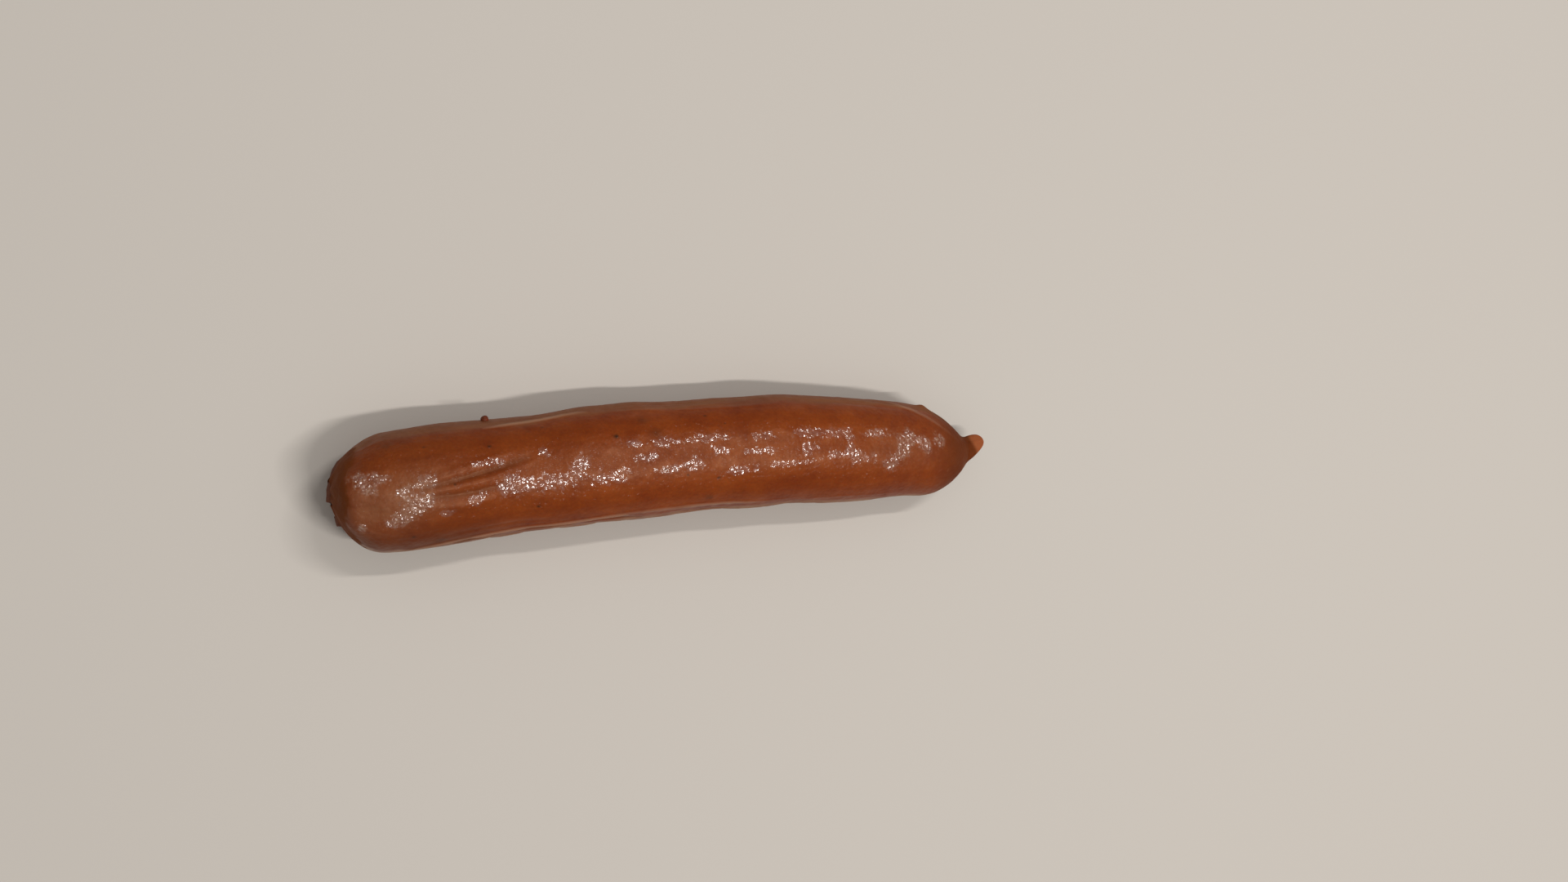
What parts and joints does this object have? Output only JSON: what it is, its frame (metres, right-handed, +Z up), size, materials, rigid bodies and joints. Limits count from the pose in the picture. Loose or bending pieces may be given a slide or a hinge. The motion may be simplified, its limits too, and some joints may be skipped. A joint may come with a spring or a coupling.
{
  "type": "sausage link",
  "caption": "Cooked sausage link in its casing, gently bowed, blunt at one end and drawn in to a small gathered tip at the other, lying on its side.",
  "frame": {"origin": "on the surface that the link lies on, under the middle of its bounding box", "axes": "+X along the link from the blunt end to the gathered tip, +Y across it towards the outside of its bow, +Z up"},
  "size_m": [0.15, 0.0284, 0.0243],
  "materials": {
    "casing": "moist satin collagen skin over cooked meat, reddish brown, with pinpoint wet highlights"
  },
  "bodies": {
    "root": {"sausage": "casing"}
  },
  "joints": []
}
